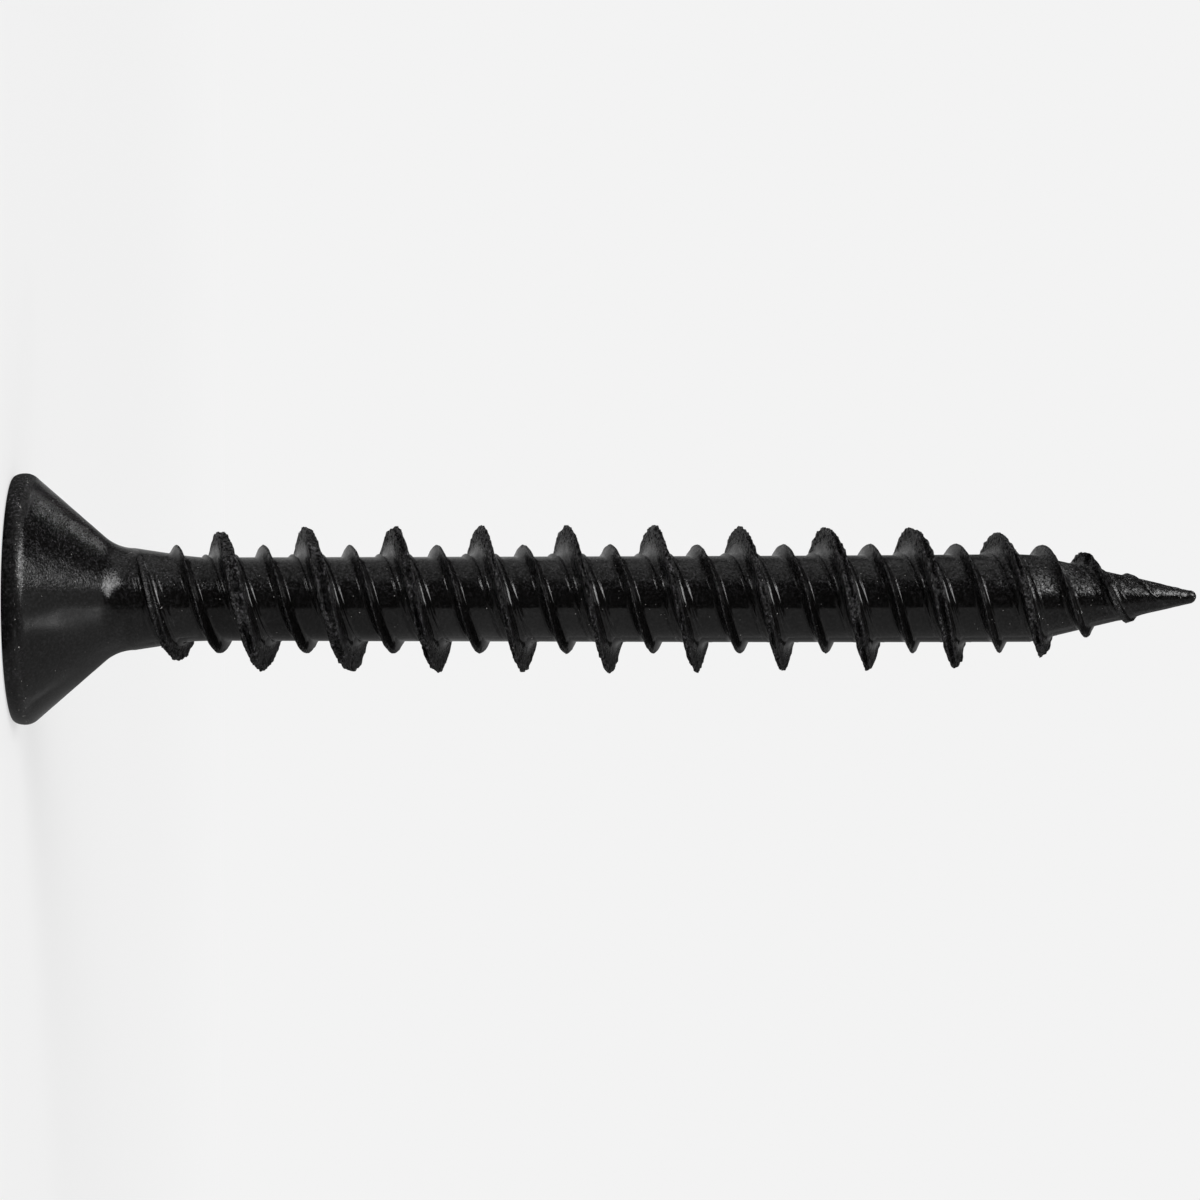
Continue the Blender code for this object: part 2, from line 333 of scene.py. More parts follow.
# How high a ridge stands over the core: it climbs out of the neck and sinks into the point
def ridgeRise(tree, size, thread, height):
    halfway = times(tree, add(tree, size["taperEnd"], size["pointStart"]), 0.5)
    neckFull = times(tree, size[thread + "AtNeck"], 0.5)
    midFull = times(tree, size[thread + "Midway"], 0.5)
    pointFull = times(tree, size[thread + "AtPoint"], 0.5)
    firstHalf = rampOf(tree, height, size["taperEnd"], halfway, neckFull, midFull)
    secondHalf = rampOf(tree, height, halfway, size["pointStart"], 0.0, minus(tree, pointFull, midFull))
    full = add(tree, firstHalf, secondHalf)
    runInEnd = add(tree, size["neckStart"], size[thread + "RunIn"])
    notClimbed = rampOf(tree, height, size["neckStart"], runInEnd, 1.0, 0.0)
    climbed = minus(tree, 1.0, times(tree, notClimbed, notClimbed))
    neck = calc(tree, "MINIMUM", times(tree, size["neckDiameter"], 0.5), full)
    crest = add(tree, neck, times(tree, minus(tree, full, neck), climbed))
    fadeStart = minus(tree, size[thread + "End"], size[thread + "Fade"])
    left = rampOf(tree, height, fadeStart, size[thread + "End"], 1.0, 0.0)
    fading = calc(tree, "POWER", left, size[thread + "FadeShape"])
    rise = times(tree, minus(tree, crest, coreRadius(tree, size, height)), fading)
    return calc(tree, "MAXIMUM", rise, 0.0)


def footWidth(tree, size, thread, rise):
    return rampOf(tree, rise, 0.0, fullRise[thread], size[thread + "FootLow"], size[thread + "FootFull"])


# Noise moved to lie around zero
def evenNoise(tree, place, scale, detail=2.0, roughness=0.5):
    return minus(tree, noiseOf(tree, place, scale, detail, roughness), 0.5)


def threadTree():
    tree = bpy.data.node_groups.new("highLowThread", "GeometryNodeTree")
    for name, value in threadSizes.items():
        kind = "NodeSocketInt" if isinstance(value, int) else "NodeSocketFloat"
        tree.interface.new_socket(name, in_out="INPUT", socket_type=kind)
    for name in ("head", "pointEnd"):
        tree.interface.new_socket(name, in_out="INPUT", socket_type="NodeSocketObject")
    tree.interface.new_socket("coat", in_out="INPUT", socket_type="NodeSocketMaterial")
    tree.interface.new_socket("screw", in_out="OUTPUT", socket_type="NodeSocketGeometry")
    size = tree.nodes.new("NodeGroupInput").outputs

    # A sheet of points: its columns go round the axis, its rows along it
    rows = times(tree, size["rowsPerLead"], size["leads"])
    columnLength = add(tree, rows, 1.0)
    sheet = tree.nodes.new("GeometryNodeMeshGrid")
    feed(tree, sheet.inputs["Vertices X"], add(tree, size["columns"], 1.0))
    feed(tree, sheet.inputs["Vertices Y"], columnLength)
    index = tree.nodes.new("GeometryNodeInputIndex").outputs[0]
    column = calc(tree, "FLOOR", calc(tree, "DIVIDE", add(tree, index, 0.5), columnLength))
    row = minus(tree, index, times(tree, column, columnLength))
    turn = calc(tree, "DIVIDE", column, size["columns"])
    angle = times(tree, turn, 2 * math.pi)
    cosine = calc(tree, "COSINE", angle)
    sine = calc(tree, "SINE", angle)
    leadIndex = calc(tree, "FLOOR", calc(tree, "DIVIDE", add(tree, row, 0.5), size["rowsPerLead"]))
    step = minus(tree, row, times(tree, leadIndex, size["rowsPerLead"]))

    # The middles of the high ridge, the low one and the next high one, each wandering a little
    def wandering(height):
        along = times(tree, height, noiseScales["wanderAlong"])
        place = vectorOf(tree, add(tree, cosine, size["seed"]), sine, along)
        pushStart = minus(tree, size["pointStart"], size["pushBefore"])
        pushed = rampOf(tree, height, pushStart, size["highEnd"], 0.0, size["pointPitch"])
        strayed = times(tree, evenNoise(tree, place, noiseScales["wander"]), size["wander"])
        return add(tree, height, pushed, strayed)

    turns = minus(tree, add(tree, leadIndex, turn), size["leadsBefore"])
    plainHigh = add(tree, size["firstHighCrest"], times(tree, turns, size["lead"]))
    highMiddle = wandering(plainHigh)
    lowMiddle = wandering(add(tree, plainHigh, times(tree, size["lead"], 0.5)))
    nextMiddle = wandering(add(tree, plainHigh, size["lead"]))
    highRise = ridgeRise(tree, size, "high", highMiddle)
    lowRise = ridgeRise(tree, size, "low", lowMiddle)
    highFoot = footWidth(tree, size, "high", highRise)
    lowFoot = footWidth(tree, size, "low", lowRise)
    nextFoot = footWidth(tree, size, "high", ridgeRise(tree, size, "high", nextMiddle))

    # The rows of one lead cross the high ridge, a root, the low ridge and a second root
    across = rampOf(tree, step, 0.0, threadRows["high"], -1.0, 1.0)
    side = calc(tree, "SIGN", across)
    away = calc(tree, "ABSOLUTE", across)
    onCrest = rampOf(tree, away, 0.0, crestShare, 0.0, 1.0)
    onFlank = rampOf(tree, away, crestShare, 1.0, 0.0, 1.0)
    along = rampOf(tree, highMiddle, size["neckStart"], size["highEnd"], 0.0, 1.0)
    towardsCamera = rampOf(tree, sine, 0.0, -1.0, 0.0, 1.0, "SMOOTHSTEP")
    bottomWidth = times(tree, drawnCurve(tree, along, bottomWidthAlong), size["bottomWidest"])
    sideWidth = rampOf(tree, cosine, -1.0, 1.0, size["topWidth"], bottomWidth)
    crestWidth = drawnCurve(tree, along, crestWidthAlong)
    crestHalf = times(tree, crestWidth, size["crestHalf"], add(tree, sideWidth, towardsCamera))
    narrowing = rampOf(tree, highRise, 0.0, size["crestFullRise"], size["crestNarrowest"], 1.0)
    crestHalf = times(tree, crestHalf, narrowing)
    flankPart = times(tree, drawnCurve(tree, onFlank, highAcross), minus(tree, highFoot, crestHalf))
    highAway = times(tree, side, add(tree, times(tree, onCrest, crestHalf), flankPart))
    highPart = add(tree, highFoot, highAway)
    lowPlace = rampOf(tree, step, lowFirstRow, lowLastRow, -1.0, 1.0)
    lowAwayShare = calc(tree, "ABSOLUTE", lowPlace)
    lowSide = calc(tree, "SIGN", lowPlace)
    lowAway = times(tree, lowSide, drawnCurve(tree, lowAwayShare, lowAcross), lowFoot)
    lowPart = add(tree, lowFoot, lowAway)
    firstRoot = minus(tree, minus(tree, lowMiddle, lowFoot), add(tree, highMiddle, highFoot))
    secondRoot = minus(tree, minus(tree, nextMiddle, nextFoot), add(tree, lowMiddle, lowFoot))
    onFirstRoot = rampOf(tree, step, threadRows["high"], lowFirstRow, 0.0, 1.0)
    onSecondRoot = rampOf(tree, step, lowLastRow, rowsPerLead, 0.0, 1.0)
    height = add(
        tree,
        minus(tree, highMiddle, highFoot),
        highPart,
        times(tree, drawnCurve(tree, onFirstRoot, rootAcross), firstRoot),
        lowPart,
        times(tree, drawnCurve(tree, onSecondRoot, rootAcross), secondRoot),
    )
    inside = times(
        tree,
        calc(tree, "GREATER_THAN", height, size["neckStart"]),
        calc(tree, "LESS_THAN", height, size["pointRoundStart"]),
    )
    height = calc(tree, "MINIMUM", height, size["pointRoundStart"])
    height = calc(tree, "MAXIMUM", height, size["neckStart"])

    # The rolled crest: a seam between two lips that wanders and comes and goes, and uneven filling
    acrossAxis = add(tree, times(tree, sine, noiseRadius), size["seed"])
    helixPlace = vectorOf(tree, times(tree, cosine, noiseRadius), acrossAxis, highMiddle)
    fullness = rampOf(tree, highRise, 0.1, 0.9, 0.0, 1.0)
    strayTilt = times(tree, evenNoise(tree, helixPlace, noiseScales["tilt"]), size["tiltStray"])
    tilt = add(tree, drawnCurve(tree, along, crestTiltAlong), strayTilt, -0.5)
    slope = rampOf(tree, across, -crestShare, crestShare, 0.5, -0.5)
    tiltPart = times(tree, tilt, size["crestTilt"], slope, rampOf(tree, onFlank, 0.0, 0.4, 1.0, 0.0))
    seam = rampOf(tree, away, 0.0, seamShare, 1.0, 0.0, "SMOOTHSTEP")
    seamWidth = rampOf(tree, crestHalf, 0.05, 0.15, 0.0, 1.0)
    seamNoise = noiseOf(tree, helixPlace, noiseScales["seam"])
    seamShown = rampOf(tree, seamNoise, size["seamFrom"], size["seamWhole"], 0.0, 1.0)
    seamDepth = times(tree, seamShown, size["seamDepth"], seamWidth)
    waves = times(tree, evenNoise(tree, helixPlace, noiseScales["waves"], 3.0), size["crestWaves"])
    highHeight = drawnCurve(tree, onFlank, highShare)
    crownShare = rampOf(tree, onCrest, 0.0, 1.0, 1.0, highShare[0][1], "SMOOTHSTEP")
    highHeight = calc(tree, "MINIMUM", highHeight, crownShare)
    dip = times(tree, towardsCamera, size["crestDip"], -1.0)
    beadPlace = rampOf(tree, cosine, -1.0, 0.9, 1.0, size["footBeadBottom"])
    bead = times(tree, drawnCurve(tree, onFlank, footBead), size["footBead"], beadPlace)
    filling = times(tree, add(tree, waves, dip), highHeight)
    crestForm = add(tree, tiltPart, times(tree, seam, seamDepth, -1.0), filling, bead)
    lowHeight = drawnCurve(tree, lowAwayShare, lowShare)
    ridges = add(
        tree,
        times(tree, highRise, highHeight),
        times(tree, crestForm, fullness),
        times(tree, lowRise, lowHeight),
    )
    radius = add(tree, coreRadius(tree, size, height), times(tree, ridges, inside))
    wound = tree.nodes.new("GeometryNodeSetPosition")
    tree.links.new(sheet.outputs["Mesh"], wound.inputs["Geometry"])
    place = vectorOf(tree, times(tree, radius, cosine), times(tree, radius, sine), height)
    tree.links.new(scaled(tree, place, mm), wound.inputs["Position"])

    # How near a point is to a crest, for the coat's wear and roughness
    wear = tree.nodes.new("GeometryNodeStoreNamedAttribute")
    wear.inputs["Name"].default_value = "crestWear"
    tree.links.new(wound.outputs[0], wear.inputs["Geometry"])
    highWear = rampOf(tree, highHeight, *wearSpans["highHeight"], 0.0, 1.0)
    highWear = times(tree, highWear, rampOf(tree, highRise, *wearSpans["highRise"], 0.0, 1.0))
    lowWear = rampOf(tree, lowHeight, *wearSpans["lowHeight"], 0.0, lowCrestWear)
    lowWear = times(tree, lowWear, rampOf(tree, lowRise, *wearSpans["lowRise"], 0.0, 1.0))
    onHigh = calc(tree, "LESS_THAN", step, threadRows["high"] + 1)
    wearValue = add(tree, times(tree, highWear, onHigh), times(tree, lowWear, minus(tree, 1.0, onHigh)))
    feed(tree, wear.inputs["Value"], times(tree, wearValue, inside))

    # The head and the point's end close the sheet, then the doubles along its seam are merged
    joined = tree.nodes.new("GeometryNodeJoinGeometry")
    for name in ("head", "pointEnd"):
        info = tree.nodes.new("GeometryNodeObjectInfo")
        tree.links.new(size[name], info.inputs["Object"])
        tree.links.new(info.outputs["Geometry"], joined.inputs[0])
    tree.links.new(wear.outputs[0], joined.inputs[0])
    merged = tree.nodes.new("GeometryNodeMergeByDistance")
    merged.inputs["Distance"].default_value = mergeDistance
    tree.links.new(joined.outputs[0], merged.inputs["Geometry"])

    # Grain in the metal and its coat, coarse on the crests, and the point's lean
    rough = tree.nodes.new("GeometryNodeSetPosition")
    position = tree.nodes.new("GeometryNodeInputPosition").outputs[0]
    normal = tree.nodes.new("GeometryNodeInputNormal").outputs[0]
    readWear = tree.nodes.new("GeometryNodeInputNamedAttribute")
    readWear.inputs["Name"].default_value = "crestWear"
    grainPlace = scaled(tree, position, 1 / mm)
    worn = readWear.outputs["Attribute"]
    crestGrain = evenNoise(tree, grainPlace, noiseScales["crestGrain"], 3.0, 0.65)
    flankGrain = evenNoise(tree, grainPlace, noiseScales["flankGrain"])
    coatGrain = evenNoise(tree, grainPlace, noiseScales["coatGrain"])
    onCrestOnly = rampOf(tree, worn, 0.6, 0.95, 0.0, 1.0)
    split = tree.nodes.new("ShaderNodeSeparateXYZ")
    tree.links.new(grainPlace, split.inputs[0])
    offFace = rampOf(tree, split.outputs[2], size["coatGrainStart"], size["coatGrainFull"], 0.0, 1.0)
    nearPoint = rampOf(tree, split.outputs[2], size["lumpsStart"], size["lumpsFull"], 0.0, 1.0)
    bumps = add(
        tree,
        times(tree, crestGrain, size["crestGrain"], onCrestOnly),
        times(tree, flankGrain, size["flankGrain"], worn),
        times(tree, coatGrain, size["coatGrain"], offFace),
        times(tree, flankGrain, size["pointLumps"], nearPoint),
    )
    fromPit = tree.nodes.new("ShaderNodeVectorMath")
    fromPit.operation = "DISTANCE"
    tree.links.new(grainPlace, fromPit.inputs[0])
    fromPit.inputs[1].default_value = (pitSizes["side"], pitSizes["front"], pitSizes["height"])
    pitSpan = (pitSizes["floorRadius"], pitSizes["radius"])
    pit = rampOf(tree, fromPit.outputs["Value"], *pitSpan, -pitSizes["depth"], 0.0, "SMOOTHSTEP")
    bumps = add(tree, bumps, pit)
    leanShare = rampOf(tree, split.outputs[2], size["leanStart"], size["pointRoundStart"], 0.0, 1.0)
    lean = vectorOf(tree, times(tree, leanShare, leanShare, size["pointLean"], -mm), 0.0, 0.0)
    offset = tree.nodes.new("ShaderNodeVectorMath")
    tree.links.new(scaled(tree, normal, times(tree, bumps, mm)), offset.inputs[0])
    tree.links.new(lean, offset.inputs[1])
    tree.links.new(merged.outputs[0], rough.inputs["Geometry"])
    tree.links.new(offset.outputs[0], rough.inputs["Offset"])

    # Smooth all over, apart from the recess's edges
    smooth = tree.nodes.new("GeometryNodeSetShadeSmooth")
    smooth.domain = "FACE"
    tree.links.new(rough.outputs[0], smooth.inputs["Geometry"])
    crisp = tree.nodes.new("GeometryNodeSetShadeSmooth")
    crisp.domain = "EDGE"
    crisp.inputs["Shade Smooth"].default_value = False
    tree.links.new(smooth.outputs[0], crisp.inputs["Geometry"])
    bend = tree.nodes.new("GeometryNodeInputMeshEdgeAngle").outputs[0]
    fromAxis = calc(tree, "SQRT", add(tree, *(times(tree, part, part) for part in split.outputs[:2])))
    crispRadius = recessSizes["diameter"] / 2 + recessSizes["crispAround"]
    crispTop = recessSizes["depth"] + recessSizes["pointDepth"] + recessSizes["crispAbove"]
    inRecess = times(
        tree,
        calc(tree, "LESS_THAN", fromAxis, crispRadius),
        calc(tree, "LESS_THAN", split.outputs[2], crispTop),
    )
    bent = calc(tree, "GREATER_THAN", bend, math.radians(recessSizes["crispAngle"]))
    tree.links.new(times(tree, inRecess, bent), crisp.inputs["Selection"])
    realized = tree.nodes.new("GeometryNodeRealizeInstances")
    tree.links.new(crisp.outputs[0], realized.inputs[0])
    coated = tree.nodes.new("GeometryNodeSetMaterial")
    tree.links.new(realized.outputs[0], coated.inputs["Geometry"])
    tree.links.new(size["coat"], coated.inputs["Material"])
    output = tree.nodes.new("NodeGroupOutput")
    tree.links.new(coated.outputs[0], output.inputs[0])
    return tree


def arcPoints(radius, height, size, start, end, steps):
    points = []
    for step in range(steps + 1):
        angle = start + (end - start) * step / steps
        points.append((radius + size * math.cos(angle), height + size * math.sin(angle)))
    return points


# Turns a profile of (radius, height) points in millimetres round the axis
def turnedMesh(profile):
    made = bmesh.new()
    verts = [made.verts.new((radius * mm, 0.0, height * mm)) for radius, height in profile]
    edges = [made.edges.new(pair) for pair in zip(verts, verts[1:])]
    bmesh.ops.spin(
        made,
        geom=verts + edges,
        cent=(0.0, 0.0, 0.0),
        axis=(0.0, 0.0, 1.0),
        angle=2 * math.pi,
        steps=columns,
        use_merge=True,
    )
    bmesh.ops.remove_doubles(made, verts=made.verts, dist=mergeDistance)
    return made


def finishMesh(made, name):
    mesh = bpy.data.meshes.new(name)
    made.to_mesh(mesh)
    made.free()
    piece = bpy.data.objects.new(name, mesh)
    bpy.context.scene.collection.objects.link(piece)
    return piece


def recessOutline(depth):
    size = recessSizes
    draft = depth * math.tan(math.radians(size["sideDraft"]))
    corner = (size["coreDiameter"] / 2 - draft) * math.sin(math.pi / 4)
    wingEnd = max(corner, size["diameter"] / 2 - depth * math.tan(math.radians(size["wingSlope"])))
    wingHalf = size["wingWidth"] / 2 - draft
    slope = math.tan(math.radians(size["cornerAngle"] / 2) - math.pi / 4)
    facetEnd = corner + (corner - wingHalf) / slope
    if facetEnd > wingEnd:
        facetEnd = wingEnd
        wingHalf = corner - (wingEnd - corner) * slope
    wing = [
        (wingEnd, -wingHalf),
        (wingEnd, wingHalf),
        (facetEnd, wingHalf),
        (corner, corner),
        (wingHalf, facetEnd),
    ]
    outline = []
    for cosine, sine in ((1, 0), (0, 1), (-1, 0), (0, -1)):
        for x, y in wing:
            outline.append(Vector((x * cosine - y * sine, x * sine + y * cosine, depth)) * mm)
    return outline


# A closed tapered cross that starts below the head's face
def makeRecessCutter():
    made = bmesh.new()
    rings = []
    mouth = recessOutline(0.0)
    below = [point - Vector((0, 0, recessSizes["overrun"] * mm)) for point in mouth]
    for outline in (below, mouth, recessOutline(recessSizes["depth"])):
        rings.append([made.verts.new(point) for point in outline])
    deepest = made.verts.new((0.0, 0.0, (recessSizes["depth"] + recessSizes["pointDepth"]) * mm))
    made.faces.new(rings[0])
    for lower, upper in zip(rings, rings[1:]):
        for index in range(len(lower)):
            after = (index + 1) % len(lower)
            made.faces.new((lower[index], lower[after], upper[after], upper[index]))
    last = rings[-1]
    for index in range(len(last)):
        made.faces.new((last[index], last[(index + 1) % len(last)], deepest))
    bmesh.ops.remove_doubles(made, verts=made.verts, dist=mergeDistance)
    bmesh.ops.recalc_face_normals(made, faces=made.faces)
    return finishMesh(made, "recessCutter")


# The head, open where the shank starts
def makeHead():
    size = headSizes
    rim = []
    rimTop = size["rimHeight"]
    faceRadius = size["diameter"] / 2 - size["rimWidth"]
    for across, along in arcPoints(0.0, 0.0, 1.0, -math.pi / 2, 0.0, size["rimSteps"]):
        rim.append((faceRadius + size["rimWidth"] * across, rimTop * (1 + along)))
    shoulderCentre = size["diameter"] / 2 - shoulderRadius
    shoulder = arcPoints(shoulderCentre, rimTop, shoulderRadius, 0.0, halfCone, size["shoulderSteps"])
    filletCentre = neckDiameter / 2 + size["neckFillet"]
    filletTurn = (math.pi + halfCone, math.pi)
    fillet = arcPoints(filletCentre, neckStart, size["neckFillet"], *filletTurn, size["filletSteps"])
    cone = []
    for step in range(1, size["coneSteps"]):
        share = step / size["coneSteps"]
        cone.append((
            shoulder[-1][0] + (fillet[0][0] - shoulder[-1][0]) * share,
            shoulder[-1][1] + (fillet[0][1] - shoulder[-1][1]) * share,
        ))
    made = turnedMesh([(faceRadius * size["faceShare"], 0.0), *rim, *shoulder[1:], *cone, *fillet])
    face = [edge for edge in made.edges if edge.is_boundary and edge.verts[0].co.z < rimTop * mm]
    bmesh.ops.contextual_create(made, geom=face)
    bmesh.ops.recalc_face_normals(made, faces=made.faces)
    head = finishMesh(made, "head")
    cutter = makeRecessCutter()
    cut = head.modifiers.new("crossRecess", "BOOLEAN")
    cut.operation = "DIFFERENCE"
    cut.solver = "EXACT"
    cut.object = cutter
    edges = head.modifiers.new("recessEdges", "BEVEL")
    edges.width = recessSizes["mouthRounding"] * mm
    edges.segments = 1
    edges.limit_method = "ANGLE"
    edges.angle_limit = math.radians(recessSizes["roundedAngle"])
    return head, cutter


def makePointEnd():
    roundStart = threadSizes["pointRoundStart"]
    profile = arcPoints(0.0, roundStart, pointSizes["endRadius"], 0.0, math.pi / 2, pointSizes["endSteps"])
    made = turnedMesh(profile)
    bmesh.ops.recalc_face_normals(made, faces=made.faces)
    return finishMesh(made, "pointEnd")


def makeScrew(coat):
    head, cutter = makeHead()
    pointEnd = makePointEnd()
    screw = bpy.data.objects.new("concreteScrew", bpy.data.meshes.new("concreteScrew"))
    bpy.context.scene.collection.objects.link(screw)
    thread = screw.modifiers.new("highLowThread", "NODES")
    tree = threadTree()
    values = {**threadSizes, "head": head, "pointEnd": pointEnd, "coat": coat}
    sockets = [item for item in tree.interface.items_tree if item.in_out == "INPUT"]
    identifiers = {socket.name: socket.identifier for socket in sockets}
    thread.node_group = tree
    for name, value in values.items():
        thread[identifiers[name]] = value
    depsgraph = bpy.context.evaluated_depsgraph_get()
    evaluated = screw.evaluated_get(depsgraph)
    mesh = bpy.data.meshes.new_from_object(evaluated, preserve_all_data_layers=True, depsgraph=depsgraph)
    screw.modifiers.remove(thread)
    screw.data = mesh
    mesh.polygons.foreach_set("material_index", [0] * len(mesh.polygons))
    mesh.materials.clear()
    mesh.materials.append(coat)
    for helper in (head, cutter, pointEnd):
        bpy.data.objects.remove(helper)
    triangles = sum(len(face.vertices) - 2 for face in mesh.polygons)
    print("screw made:", len(mesh.vertices), "points,", triangles, "triangles")
    return screw


# The coat: its sizes are in millimetres, the colours linear
coatLook = {
    "black": (0.0028, 0.0026, 0.0025, 1.0),
    # pale flecks in the coat, partly painted sparkle that is denser on the lit -X side
    "flecksAndSparkle": (0.04, 0.039, 0.041, 1.0),
    "crestBlack": (0.0045, 0.0042, 0.0043, 1.0),
    "crestPale": (0.068, 0.065, 0.07, 1.0),
    "dust": (0.35, 0.34, 0.33, 1.0),
    "roughness": 0.11,
    "wornRoughness": 0.4,
    "neckDullness": 0.24,
    "gloss": 0.5,
    "grainHeight": 0.013,
    "pointGrain": 3.8,  # how many times as deep the grain is on the point
    "peelHeight": 0.02,
    "crumbHeight": 0.12,
    "grainScale": 15.0,
    "peelScale": 1.6,
    "crumbScale": 8.0,
    "wornEdgeScale": 4.0,
    "mottleScale": 9.0,
    "patchScale": 2.6,
    "fleckScale": 10.0,
    "dustScale": 13.0,
    "smudgeScale": 0.7,
    "crestWorn": (0.72, 0.95),  # from where on the crests and the flanks look worn, and where fully
    "flankWorn": (0.2, 0.8),
    "patchSpan": (0.45, 0.58),  # the part of its noise over which each kind of spot comes up
    "fleckSpan": (0.48, 0.8),
    "crumbSpan": (0.55, 0.68),
    "dustSpan": (0.86, 0.88),
    "grainyLitAcross": (0.1, -0.8),  # where on the screw the coat changes, each from start to end
    "coarserUp": (36.0, 39.5),
    "patchyUp": (39.0, 41.0),
    "rimWearUp": (0.95, 0.5),
    # painted light: the rim's pale worn colour grows towards the lit -X side
    "rimLitSideAcross": (-2.6, -4.0),
    "rimWearOut": (4.3, 4.5),
    "dustHeight": 0.6,
    "dullUp": (1.2, 2.6),
    "dullEndUp": (4.2, 5.4),
    "dullAcross": (0.1, 0.5),
}


def mixedColour(tree, share, first, second):
    node = tree.nodes.new("ShaderNodeMix")
    node.data_type = "RGBA"
    feed(tree, node.inputs["Factor"], share)
    colours = [socket for socket in node.inputs if socket.type == "RGBA"]
    feed(tree, colours[0], first)
    feed(tree, colours[1], second)
    return [socket for socket in node.outputs if socket.type == "RGBA"][0]


def blackCoat():
    look = coatLook
    material = bpy.data.materials.new("blackCoat")
    material.use_nodes = True
    tree = material.node_tree
    shader = tree.nodes["Principled BSDF"]
    place = scaled(tree, tree.nodes.new("ShaderNodeTexCoord").outputs["Object"], 1 / mm)
    split = tree.nodes.new("ShaderNodeSeparateXYZ")
    tree.links.new(place, split.inputs[0])
    across, front, height = split.outputs
    attribute = tree.nodes.new("ShaderNodeAttribute")
    attribute.attribute_name = "crestWear"
    worn = attribute.outputs["Fac"]

    # The coat is grainy on one side, the lit -X side, and ran smooth on the other
    grainyLitSide = rampOf(tree, across, *look["grainyLitAcross"], 0.1, 1.0, "SMOOTHSTEP")
    nearPoint = rampOf(tree, height, *look["coarserUp"], 1.0, look["pointGrain"])
    grainNoise = noiseOf(tree, place, look["grainScale"], 2.0, 0.6)
    grain = times(tree, grainNoise, look["grainHeight"], grainyLitSide, nearPoint)
    peelDepth = times(tree, grainyLitSide, look["peelHeight"])
    peel = times(tree, noiseOf(tree, place, look["peelScale"], 1.0), peelDepth)
    roughEdge = add(tree, worn, times(tree, evenNoise(tree, place, look["wornEdgeScale"]), 0.7))
    crest = rampOf(tree, roughEdge, *look["crestWorn"], 0.0, 1.0)
    flank = rampOf(tree, roughEdge, *look["flankWorn"], 0.0, 1.0)
    crumbNoise = noiseOf(tree, place, look["crumbScale"], 3.0, 0.6)
    crumbs = times(tree, crumbNoise, look["crumbHeight"], rampOf(tree, worn, 0.1, 0.9, 0.0, 1.0))

    # Pits too small to model mottle the gloss. Worn, it is lower, and on the point it is patchy
    mottleDepth = add(tree, times(tree, grainyLitSide, nearPoint, 0.2), times(tree, flank, 0.25), 0.05)
    mottleDepth = calc(tree, "MINIMUM", mottleDepth, 0.45)
    mottle = rampOf(tree, noiseOf(tree, place, look["mottleScale"], 2.0, 0.7), 0.4, 0.6, -1.0, 1.0)
    gloss = add(tree, times(tree, mottleDepth, mottle), look["gloss"], times(tree, flank, -0.15))
    patches = rampOf(tree, noiseOf(tree, place, look["patchScale"]), *look["patchSpan"], 0.1, 1.4)
    onPoint = times(tree, rampOf(tree, height, *look["patchyUp"], 0.0, 1.0), grainyLitSide)
    gloss = times(tree, gloss, minus(tree, 1.0, times(tree, onPoint, minus(tree, 1.0, patches))))
    tree.links.new(gloss, shader.inputs["Specular IOR Level"])
    bump = tree.nodes.new("ShaderNodeBump")
    bump.inputs["Strength"].default_value = 1.0
    bump.inputs["Distance"].default_value = mm
    tree.links.new(add(tree, grain, peel, crumbs), bump.inputs["Height"])
    tree.links.new(bump.outputs[0], shader.inputs["Normal"])

    # Worn crests are matt, black with pale crumbs, and a little dust lies along the rim
    # Pale flecks in the coat, made denser on the lit -X side as painted sparkle
    fleckNoise = noiseOf(tree, place, look["fleckScale"], 2.0, 0.7)
    flecksAndSparkle = rampOf(tree, fleckNoise, *look["fleckSpan"], 0.0, 1.0)
    flecksAndSparkle = times(tree, flecksAndSparkle, rampOf(tree, grainyLitSide, 0.1, 1.0, 0.35, 1.0))
    blackWithFlecksAndSparkle = mixedColour(tree, flecksAndSparkle, look["black"], look["flecksAndSparkle"])
    crumbSpots = rampOf(tree, crumbNoise, *look["crumbSpan"], 0.0, 1.0)
    crestColour = mixedColour(tree, crumbSpots, look["crestBlack"], look["crestPale"])
    fromAxis = tree.nodes.new("ShaderNodeVectorMath")
    fromAxis.operation = "LENGTH"
    tree.links.new(vectorOf(tree, across, front, 0.0), fromAxis.inputs[0])
    # Pale worn coat along the rim: wear all round, made much paler towards the lit -X side as painted light
    rimWearAndLitSide = times(
        tree,
        rampOf(tree, height, *look["rimWearUp"], 0.0, 1.0),
        rampOf(tree, across, *look["rimLitSideAcross"], 0.35, 1.6),
        rampOf(tree, fromAxis.outputs["Value"], *look["rimWearOut"], 0.0, 1.0),
    )
    wornShare = add(tree, times(tree, crest, 0.5), times(tree, flank, 0.5), rimWearAndLitSide)
    wornBlack = mixedColour(tree, wornShare, blackWithFlecksAndSparkle, crestColour)
    fromDust = calc(tree, "ABSOLUTE", minus(tree, height, look["dustHeight"]))
    nearDust = rampOf(tree, fromDust, 0.05, 0.2, 0.09, 0.0)
    dustNoise = noiseOf(tree, place, look["dustScale"], 0.0)
    specks = rampOf(tree, add(tree, dustNoise, nearDust), *look["dustSpan"], 0.0, 1.0)
    tree.links.new(mixedColour(tree, specks, wornBlack, look["dust"]), shader.inputs["Base Color"])

